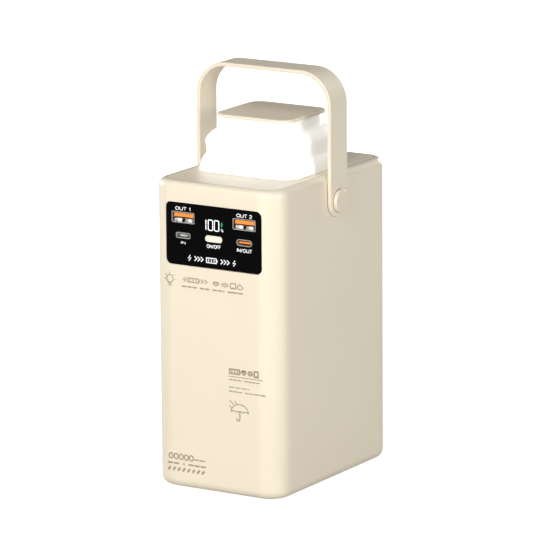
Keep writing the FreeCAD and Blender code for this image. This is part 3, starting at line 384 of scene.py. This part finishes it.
def paper_look():
    look = Look("fish_paper", (0.45, 0.48, 0.38), 0.85)
    fibres = look.noise(420.0, 6, (0.3, 1.0, 1.0))
    look.vary_colour(look.span(fibres, 0.35, 0.7), (0.36, 0.39, 0.30))
    look.vary_rough(fibres, 0.78, 0.92)
    look.bump(fibres, 0.6, 0.05)
    return look


def insulation(name, colour):
    look = moulded(name, colour, 0.38, 800.0, 0.02, 0.85)
    look.set("Sheen Weight", 0.1)
    return look


def rubber_look():
    look = moulded("foot_rubber", (0.035, 0.035, 0.037), 0.8, 700.0, 0.05, 0.7, 0.2, (0.09, 0.09, 0.09))
    look.set("Sheen Weight", 0.15)
    return look


def ferrite_look():
    look = Look("ferrite", (0.05, 0.05, 0.053), 0.7, 0.3)
    grit = look.cells(1100.0)
    look.vary_colour(look.span(grit, 0.1, 0.7), (0.09, 0.09, 0.095))
    look.vary_rough(look.noise(500.0, 4), 0.6, 0.85)
    look.bump(grit, 0.7, 0.06)
    return look


def slot_looks():
    """One look for each material slot of the record, and spring_leaf for bright spring metal."""
    steel = (0.66, 0.66, 0.65)
    return {
        "casing": cream_plastic(),
        "panel": panel_acrylic(),
        "tape": moulded("tape", (0.02, 0.02, 0.02), 0.85, 500.0, 0.03, 0.8),
        "button": key_plastic(),
        "switch_black": moulded("switch_black", (0.02, 0.02, 0.021), 0.5, 1200.0, 0.02, 0.8),
        "display_lit": lit("display_segments", (0.9, 0.94, 1.0), 0.68),
        "socket_metal": sheet_metal("tinned_sheet", (0.90, 0.90, 0.89), 0.34, (1.0, 0.08, 1.0)),
        "tongue_orange": tongue_plastic(),
        "contact_gold": sheet_metal("contact_gold", (0.83, 0.60, 0.25), 0.25, (1.0, 0.1, 1.0)),
        "board": board_mask(),
        "chip": moulded("chip_epoxy", (0.02, 0.02, 0.022), 0.6, 1500.0, 0.03, 0.8),
        "ferrite": ferrite_look(),
        "spring_leaf": sheet_metal("spring_leaf", (0.96, 0.96, 0.94), 0.5, (1.0, 0.1, 1.0)),
        "can_metal": sheet_metal("drawn_can", (0.78, 0.78, 0.79), 0.28, (1.0, 0.1, 1.0)),
        "connector": moulded("connector", (0.74, 0.71, 0.62), 0.5, 1300.0, 0.02, 0.92),
        "screw_steel": sheet_metal("plated_screw", steel, 0.3, (1.0, 1.0, 1.0), 1500.0),
        "cell": cell_sleeve(),
        "holder": moulded("cell_holder", (0.03, 0.03, 0.032), 0.6, 1000.0, 0.03, 0.8),
        "nickel": sheet_metal("nickel_strip", (0.70, 0.68, 0.64), 0.35, (0.08, 1.0, 1.0)),
        "paper": paper_look(),
        "foam": foam_look(),
        "lead_red": insulation("lead_red", (0.48, 0.02, 0.015)),
        "lead_black": insulation("lead_black", (0.015, 0.015, 0.016)),
        "led_board_white": moulded("led_board_white", (0.85, 0.85, 0.84), 0.4, 1100.0, 0.01, 0.95),
        "led_yellow": lit("led_phosphor", (1.0, 0.86, 0.45), 1.2),
        "shade_silicone": silicone(),
        "ring_white": moulded("ring_white", (0.80, 0.80, 0.78), 0.5, 1200.0, 0.02, 0.94),
        "foot_rubber": rubber_look(),
    }


# ------------------------------------------------------------------ pieces

def new_piece(name, bm, body, look, smooth=False):
    """The bmesh as a named piece that rides on a body."""
    bmesh.ops.recalc_face_normals(bm, faces=bm.faces)
    mesh = bpy.data.meshes.new(name)
    bm.to_mesh(mesh)
    bm.free()
    if smooth:
        mesh.shade_smooth()
    item = bpy.data.objects.new(name, mesh)
    bpy.context.scene.collection.objects.link(item)
    look.put_on(item)
    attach(item, body)
    return item


def join_rows(bm, rows, closed=True):
    """Faces between rows of points in mm; the last row joins the first, or both are capped."""
    rows = [[bm.verts.new([c * MM for c in p]) for p in row] for row in rows]
    for a, b in zip(rows, rows[1:] + rows[:1] if closed else rows[1:]):
        for k in range(len(a)):
            n = (k + 1) % len(a)
            bm.faces.new((a[k], a[n], b[n], b[k]))
    if not closed:
        bm.faces.new(rows[0])
        bm.faces.new(rows[-1][::-1])


def square_ring(half_x, half_y, corner, z, steps=12):
    """Points of a level square with round corners, anticlockwise seen from above."""
    points = []
    for turn, (sx, sy) in enumerate(((1, 1), (-1, 1), (-1, -1), (1, -1))):
        for k in range(steps + 1):
            angle = math.pi / 2 * (turn + k / steps)
            points.append((
                (half_x - corner) * sx + corner * math.cos(angle),
                (half_y - corner) * sy + corner * math.sin(angle), z))
    return points


SHADE_LEVELS = (
    # half width, half depth, corner radius, height, in mm
    (28.3, 28.3, 9.6, 157.08), (28.8, 28.8, 10.1, 157.2), (29.0, 29.0, 10.3, 157.6),
    (28.95, 28.95, 10.3, 158.4), (28.75, 28.75, 10.3, 159.6), (28.5, 28.5, 10.3, 160.9),
    (28.15, 28.15, 10.3, 162.2), (27.6, 27.6, 10.2, 163.4), (26.9, 26.9, 9.9, 164.5),
    (26.35, 26.35, 9.5, 165.3), (26.05, 26.05, 9.2, 166.1), (26.0, 26.0, 9.1, 167.0),
    (26.1, 26.1, 9.1, 168.4), (26.25, 26.25, 9.1, 169.9), (26.4, 26.4, 9.1, 171.3),
    (26.4, 26.4, 9.1, 172.2), (26.15, 26.15, 9.1, 173.1), (25.7, 25.7, 9.2, 174.0),
    (25.1, 25.1, 9.4, 175.0), (24.4, 24.4, 9.2, 175.9), (23.6, 23.6, 9.0, 176.7),
    (22.7, 22.6, 8.6, 177.25), (21.6, 21.2, 7.8, 177.55), (20.9, 19.6, 7.0, 177.75),
    (20.45, 18.6, 6.4, 178.2), (20.25, 18.25, 6.1, 178.9), (20.2, 18.2, 6.0, 180.2),
    (20.2, 18.2, 6.0, 182.0), (20.2, 18.2, 6.0, 183.95),
)
SHADE_SKIN = 1.5


def make_shade(looks):
    """Silicone shade: two soft square steps and a neck, as one closed skin."""
    bm = bmesh.new()
    rings = [square_ring(*level) for level in SHADE_LEVELS]
    for half_x, half_y, corner, z in reversed(SHADE_LEVELS):
        rings.append(square_ring(half_x - SHADE_SKIN, half_y - SHADE_SKIN, corner - SHADE_SKIN, z))
    join_rows(bm, rings)
    shade = new_piece("lamp_shade_skin", bm, "casing", looks["shade_silicone"], True)
    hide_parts("lamp_shade")
    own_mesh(shade)


# half width, half depth and corner radius of the casing seen from above, in mm
CASING_PLAN = (37.0, 55.0, 12.0)


def make_seam_shadow():
    """Painted shadow: a dark strip laid in the parting line round the deck plate, for the shade in its
    groove.
    """
    inset, wide, low, high = 3.82, 0.34, 156.9, 157.015
    bm = bmesh.new()
    rings = []
    for out, z in ((wide / 2, low), (wide / 2, high), (-wide / 2, high), (-wide / 2, low)):
        rings.append(square_ring(*(size - inset + out for size in CASING_PLAN), z))
    join_rows(bm, rings)
    # painted shadow: a dark strip of colour where the deck's parting groove is in shade
    look = moulded("seam_shadow", (0.30, 0.255, 0.185), 0.8, 900.0, 0.01, 0.8)
    new_piece("deck_seam_shadow", bm, "casing", look)


def ribbon(bm, x, wide, thick, path):
    """A bent sheet strip along path (y, z in mm), thick across it."""
    rows = []
    for k, (y, z) in enumerate(path):
        ahead = Vector(path[min(k + 1, len(path) - 1)]) - Vector(path[max(k - 1, 0)])
        across = Vector((-ahead.y, ahead.x)).normalized() * thick / 2
        edge = ((x - wide / 2, 1), (x + wide / 2, 1), (x + wide / 2, -1), (x - wide / 2, -1))
        rows.append([(px, y + across.x * s, z + across.y * s) for px, s in edge])
    join_rows(bm, rows, False)


def make_springs(looks):
    """Leaf springs on the floor of each large socket, steepest near its mouth."""
    spread, wide, thick, long, rise, count = 3.0, 4.3, 0.2, 6.0, 1.75, 14
    lift, setback, lean = 0.42, 0.4, 0.45
    for side, name in ((-1, "left"), (1, "right")):
        low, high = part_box(f"usb_a_{name}_shell")
        x, floor, mouth = (low.x + high.x) / 2 / MM, low.z / MM + lift, low.y / MM
        bm = bmesh.new()
        for offset in (-spread, spread):
            path = []
            for k in range(count + 1):
                along = k / count
                height = floor + rise * math.sin(math.pi * along ** lean)
                path.append((mouth + setback + long * along, height))
            ribbon(bm, x + offset, wide, thick, path)
        new_piece(f"usb_a_{name}_springs", bm, "casing", looks["spring_leaf"], True)


def make_pivot_seams():
    """Fine shadow line where each pivot cap meets the handle's arm."""
    near, far, under, over = 0.01, 0.27, 0.01, 0.07
    look = moulded("pivot_shadow", (0.40, 0.345, 0.26), 0.8, 900.0, 0.01, 0.8)
    for side, name in ((-1, "left"), (1, "right")):
        low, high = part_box(f"pivot_cap_{name}")
        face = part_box("handle")[0 if side < 0 else 1].x / MM
        y, z = (low.y + high.y) / 2 / MM, (low.z + high.z) / 2 / MM
        radius = (high.z - low.z) / 2 / MM
        rings = []
        for out, proud in ((near, under), (near, over), (far, over), (far, under)):
            circle = arc(y, z, radius + out, radius + out, steps=48)
            rings.append([(face + side * proud, py, pz) for py, pz in circle])
        bm = bmesh.new()
        join_rows(bm, rings)
        new_piece(f"pivot_seam_{name}", bm, "casing", look)


# ------------------------------------------------------------------ prints and display

def band(bm, points, width, near, far, closed=False):
    """Flat band along points (x, z in mm) as a closed solid between the depths near and far."""
    points = [Vector(p) for p in points]
    rows = []
    for k, point in enumerate(points):
        runs = []
        if k or closed:
            runs.append((point - points[k - 1]).normalized())
        if k < len(points) - 1 or closed:
            runs.append((points[(k + 1) % len(points)] - point).normalized())
        along = (runs[0] + runs[-1]).normalized()
        side = Vector((-along.y, along.x))
        fit = max(0.6, side.dot(Vector((-runs[0].y, runs[0].x))))
        half = side * (width / 2 / fit)
        edge = ((point + half, near), (point - half, near), (point - half, far), (point + half, far))
        rows.append([(p.x, y, p.y) for p, y in edge])
    join_rows(bm, rows, closed)


def arc(x, z, rx, rz, start=0.0, end=360.0, steps=18):
    """Points of an elliptical arc, in degrees; a whole turn leaves out its last point."""
    whole = abs(end - start) >= 360.0
    count = steps if whole else steps + 1
    angles = [math.radians(start + (end - start) * k / steps) for k in range(count)]
    return [(x + rx * math.cos(a), z + rz * math.sin(a)) for a in angles]


class Marks:
    """Flat marks on a face that looks to the front."""

    def __init__(self, near, far):
        self.bm = bmesh.new()
        self.near, self.far = near, far

    def line(self, points, width, closed=False):
        band(self.bm, points, width, self.near, self.far, closed)

    def ring(self, x, z, rx, rz, width):
        self.line(arc(x, z, rx, rz), width, True)

    def row(self, signs, left, low, wide, tall, weight):
        """A row of signs, fitted to this width and height from its left and low edges."""
        gap = 0.16
        natural = sum(SIGNS[s][0] + gap for s in signs) - gap
        scale_x = (wide - weight) / natural
        scale_z = tall - weight
        x = left + weight / 2
        for sign in signs:
            advance, strokes = SIGNS[sign]
            for points, closed in strokes:
                moved = [(x + px * scale_x, low + weight / 2 + pz * scale_z) for px, pz in points]
                self.line(moved, weight, closed)
            x += (advance + gap) * scale_x


SIGNS = {
    # sign: (width, strokes), in a box one high
    " ": (0.25, ()),
    "I": (0.02, (([(0.01, 0), (0.01, 1)], False),)),
    "N": (0.62, (([(0, 0), (0, 1)], False), ([(0, 1), (0.62, 0)], False),
                 ([(0.62, 0), (0.62, 1)], False))),
    "O": (0.72, ((arc(0.36, 0.5, 0.36, 0.5), True),)),
    "U": (0.6, (([(0, 1), (0, 0.3)] + arc(0.3, 0.3, 0.3, 0.3, 180, 360, 8)[1:-1]
                 + [(0.6, 0.3), (0.6, 1)], False),)),
    "T": (0.6, (([(0, 1), (0.6, 1)], False), ([(0.3, 1), (0.3, 0)], False))),
    "F": (0.45, (([(0, 0), (0, 1)], False), ([(0, 1), (0.45, 1)], False),
                 ([(0, 0.5), (0.38, 0.5)], False))),
    "/": (0.36, (([(0, -0.05), (0.36, 1.05)], False),)),
    "1": (0.22, (([(0, 0.78), (0.2, 1), (0.2, 0)], False),)),
    "2": (0.5, ((arc(0.25, 0.72, 0.25, 0.28, 170, -40, 8) + [(0, 0), (0.52, 0)], False),)),
    "%": (0.8, (([(0.1, 0), (0.7, 1)], False), (arc(0.15, 0.8, 0.15, 0.2), True),
                (arc(0.65, 0.2, 0.15, 0.2), True))),
    "0": (0.56, ((arc(0.28, 0.5, 0.28, 0.5), True),)),
    # pictograms
    "bolt": (0.5, (([(0.38, 1.0), (0.04, 0.46), (0.46, 0.54), (0.12, 0.0)], False),)),
    "chevron": (0.36, (([(0, 0.9), (0.36, 0.5), (0, 0.1)], False),)),
    "battery": (1.75, (([(0, 0.1), (1.6, 0.1), (1.6, 0.9), (0, 0.9)], True),
                       ([(1.75, 0.35), (1.75, 0.65)], False), ([(0.35, 0.3), (0.35, 0.7)], False),
                       ([(0.8, 0.3), (0.8, 0.7)], False), ([(1.25, 0.3), (1.25, 0.7)], False))),
    "plug": (0.8, (([(0.1, 0.7), (0.7, 0.7), (0.7, 0.42), (0.4, 0.2), (0.1, 0.42)], True),
                   ([(0.25, 0.7), (0.25, 1.0)], False), ([(0.55, 0.7), (0.55, 1.0)], False),
                   ([(0.4, 0.2), (0.4, 0.0)], False))),
    "sun": (1.0, ((arc(0.5, 0.5, 0.24, 0.24), True),
                  ([(0.5, 0.88), (0.5, 1.0)], False), ([(0.5, 0.0), (0.5, 0.12)], False),
                  ([(0.0, 0.5), (0.12, 0.5)], False), ([(0.88, 0.5), (1.0, 0.5)], False),
                  ([(0.14, 0.14), (0.23, 0.23)], False), ([(0.77, 0.77), (0.86, 0.86)], False),
                  ([(0.14, 0.86), (0.23, 0.77)], False), ([(0.77, 0.23), (0.86, 0.14)], False))),
    "drop": (0.66, (([(0.33, 1.0), (0.14, 0.62)] + arc(0.33, 0.33, 0.33, 0.33, 160, 380, 12)
                     + [(0.52, 0.62)], True),)),
    "phone": (0.6, (([(0, 0), (0.6, 0), (0.6, 1.0), (0, 1.0)], True),
                    ([(0.22, 0.14), (0.38, 0.14)], False))),
    "dash": (0.7, (([(0, 0.5), (0.7, 0.5)], False),)),
    "long": (1.6, (([(0, 0.5), (1.6, 0.5)], False),)),
    "dot": (0.25, (([(0, 0.5), (0.25, 0.5)], False),)),
}


def signs(words):
    """Names of signs; an upright bar in words stands for a space."""
    return [" " if word == "|" else word for word in words.split()]


# faces that carry marks, in mm, and the depth of a mark either side of its face
PANEL_Y = -54.65
FRONT_Y = -55.0
INK_SUNK = 0.02
INK_PROUD = 0.03

# height of the digits' middle; a digit's width, height and weight; each middle and its lit bars
DISPLAY_Z = 137.1
DIGIT_SIZE = (3.0, 5.6, 0.42)
DIGITS = ((-5.7, "bc"), (-1.75, "abcdef"), (1.8, "abcdef"))


def make_panel_marks():
    """White port labels and caption on the black panel."""
    marks = Marks(PANEL_Y - INK_PROUD, PANEL_Y + INK_SUNK)
    marks.row("OUT 1", -22.3, 142.75, 9.0, 1.9, 0.34)
    marks.row("OUT 2", 13.3, 142.75, 9.0, 1.9, 0.34)
    marks.row("IN", -19.1, 125.8, 2.7, 1.5, 0.3)
    marks.row("ON/OFF", -4.1, 125.5, 8.2, 1.9, 0.34)
    marks.row("IN/OUT", 13.5, 125.4, 8.8, 1.9, 0.34)
    caption = "bolt | chevron chevron chevron | battery | chevron chevron chevron | bolt"
    marks.row(signs(caption), -15.3, 117.6, 28.3, 3.4, 0.5)
    white = ink("panel_ink", (0.86, 0.86, 0.87), 0.45)
    new_piece("panel_print", marks.bm, "casing", white)


def seven_segment(marks, x, z, wide, tall, weight, lit_bars):
    """One digit of straight bars, with a small gap between them."""
    half_x, half_z, gap = (wide - weight) / 2, (tall - weight) / 2, weight * 0.62
    bars = {
        "a": ((-half_x + gap, half_z), (half_x - gap, half_z)),
        "d": ((-half_x + gap, -half_z), (half_x - gap, -half_z)),
        "b": ((half_x, half_z - gap * 0.4), (half_x, gap * 0.35)),
        "c": ((half_x, -gap * 0.35), (half_x, gap * 0.4 - half_z)),
        "f": ((-half_x, half_z - gap * 0.4), (-half_x, gap * 0.35)),
        "e": ((-half_x, -gap * 0.35), (-half_x, gap * 0.4 - half_z)),
    }
    for name in lit_bars:
        marks.line([(x + px, z + pz) for px, pz in bars[name]], weight)


def make_display(looks):
    """Lit digits and signs, as they show on the panel's face."""
    marks = Marks(PANEL_Y - INK_PROUD, PANEL_Y + INK_SUNK)
    for x, bars in DIGITS:
        seven_segment(marks, x, DISPLAY_Z, *DIGIT_SIZE, bars)
    marks.row("%", 4.3, 134.4, 1.3, 1.4, 0.14)
    digits = new_piece("display_marks", marks.bm, "casing", looks["display_lit"])
    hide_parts("display_digits")
    bolt = Marks(PANEL_Y - INK_PROUD, PANEL_Y + INK_SUNK)
    bolt.line([(5.0, 139.1), (4.35, 137.9), (5.2, 137.9), (4.5, 136.7)], 0.36)
    green = lit("display_green", (0.03, 0.36, 0.15), 0.35)
    new_piece("display_charge_mark", bolt.bm, "casing", green)


def make_front_print():
    """Grey-brown pictograms, rules and filler rows on the casing's front."""
    marks = Marks(FRONT_Y - INK_PROUD, FRONT_Y + INK_SUNK)
    bulb(marks)
    marks.row(signs("bolt battery chevron chevron"), -18.3, 106.7, 14.8, 3.0, 0.62)
    marks.row(signs("plug sun phone drop"), -0.95, 106.4, 18.1, 3.1, 0.58)
    filler(marks, -18.5, 104.0, 35.4, 1.3, "dash dash dash | dash dash | dash dash dot | long dash")
    marks.row(signs("battery plug sun phone"), 8.4, 63.0, 17.4, 3.6, 0.85)
    marks.line([(8.1, 62.2), (27.9, 62.2)], 0.4)
    filler(marks, 8.4, 60.0, 17.7, 1.05, "dash dash dash dot | dash dash dash dash")
    filler(marks, 8.4, 56.3, 11.9, 0.85, "dash dash dash dot")
    filler(marks, 8.4, 54.1, 20.8, 1.0, "dash dash dash | dash dash dash dot dash")
    umbrella(marks)
    marks.row("00000", -27.7, 15.4, 15.1, 3.4, 0.72)
    filler(marks, -12.2, 16.0, 6.4, 1.2, "dash dash dot")
    filler(marks, -28.1, 12.8, 22.5, 1.5, "dash dash | dot | dash dash dash")
    for k in range(8):
        x = -27.9 + 2.85 * k
        marks.line([(x, 9.7), (x + 1.5, 11.5)], 1.15)
    brown = ink("front_ink", (0.335, 0.28, 0.205), 0.55)
    new_piece("front_print", marks.bm, "casing", brown)


def bulb(marks):
    """Lit bulb pictogram: a ring with rays over three short lines."""
    x, z, radius, weight = -25.65, 107.8, 1.95, 0.5
    marks.ring(x, z, radius, radius, weight)
    for angle in (-8, 38, 90, 142, 188):
        turn = math.radians(angle)
        across, up = math.cos(turn), math.sin(turn)
        marks.line([(x + across * r, z + up * r) for r in (2.75, 3.35)], weight)
    for k in range(3):
        low = 105.4 - 0.55 * k
        marks.line([(-26.9 + 0.15 * k, low), (-24.4 - 0.15 * k, low)], 0.3)


def filler(marks, left, low, wide, tall, words):
    """A line of plain dashes where the real one has small text."""
    names = signs(words)
    gap = 0.12
    natural = sum(SIGNS[s][0] for s in names) + gap * (len(names) - 1)
    scale = wide / natural
    x = left
    for name in names:
        long = SIGNS[name][0] * scale
        if name != " ":
            marks.line([(x, low + tall / 2), (x + long, low + tall / 2)], tall * 0.62)
        x += long + gap * scale


def umbrella(marks):
    """Rain pictogram: an open umbrella and three strokes of rain."""
    weight = 0.5
    x, z = 14.6, 44.2
    marks.line(arc(x, z, 5.0, 4.2, 0, 180, 16), weight)
    scallops = []
    for k in range(3):
        scallops += arc(x + 3.33 - 3.33 * k, z, 1.66, 0.7, 0, 180, 6)[1 if k else 0:]
    marks.line(scallops, weight)
    hook = arc(x - 0.9, z - 3.0, 0.9, 1.2, 0, -180, 8)
    marks.line([(x, z + 0.6), (x, z - 3.0)] + hook[1:], 0.75)
    rain = (((8.7, 50.0), (11.3, 47.7)), ((11.5, 49.8), (13.0, 48.5)), ((8.4, 47.3), (9.8, 46.0)))
    for a, b in rain:
        marks.line([a, b], weight)


def main():
    make_camera()
    make_studio()
    looks = slot_looks()
    for part in frame["record"]["subparts"]:
        looks[part["material_slot"]].put_on(frame["nodes"][part["node"]])
    looks["spring_leaf"].put_on(frame["nodes"]["micro_usb_tongue"])
    make_shade(looks)
    make_seam_shadow()
    make_springs(looks)
    make_pivot_seams()
    make_panel_marks()
    make_display(looks)
    make_front_print()


main()
